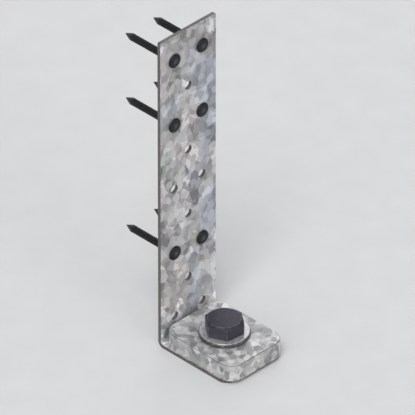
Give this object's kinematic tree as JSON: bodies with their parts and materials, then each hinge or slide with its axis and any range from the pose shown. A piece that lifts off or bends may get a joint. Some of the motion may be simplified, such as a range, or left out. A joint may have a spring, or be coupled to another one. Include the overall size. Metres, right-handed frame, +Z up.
{
  "type": "angle bracket",
  "caption": "Bent steel strap with a short foot and punched nail holes, held by nails in its upright leg and by a hexagon bolt through a thick plate washer on the foot.",
  "frame": {"origin": "on the anchor bolt's axis, at the underside of the foot, midway across the strap", "axes": "+Z up along the upright leg and the bolt; +X away from the timber, along the foot; Y across the strap"},
  "size_m": [0.0865, 0.04, 0.2555],
  "materials": {
    "strap_zinc": "bright galvanised sheet with a spangle of pale grey crystals",
    "plate_zinc": "hot-dip galvanised plate, softly mottled",
    "washer_zinc": "zinc plated, satin",
    "bolt_dark": "dark slate coating, satin",
    "nail_dark": "blackened steel, satin"
  },
  "bodies": {
    "root": {"angle_bracket": "strap_zinc", "plate_washer": "plate_zinc", "anchor_washer": "washer_zinc", "anchor_bolt": "bolt_dark", "nails": "nail_dark"}
  },
  "joints": []
}
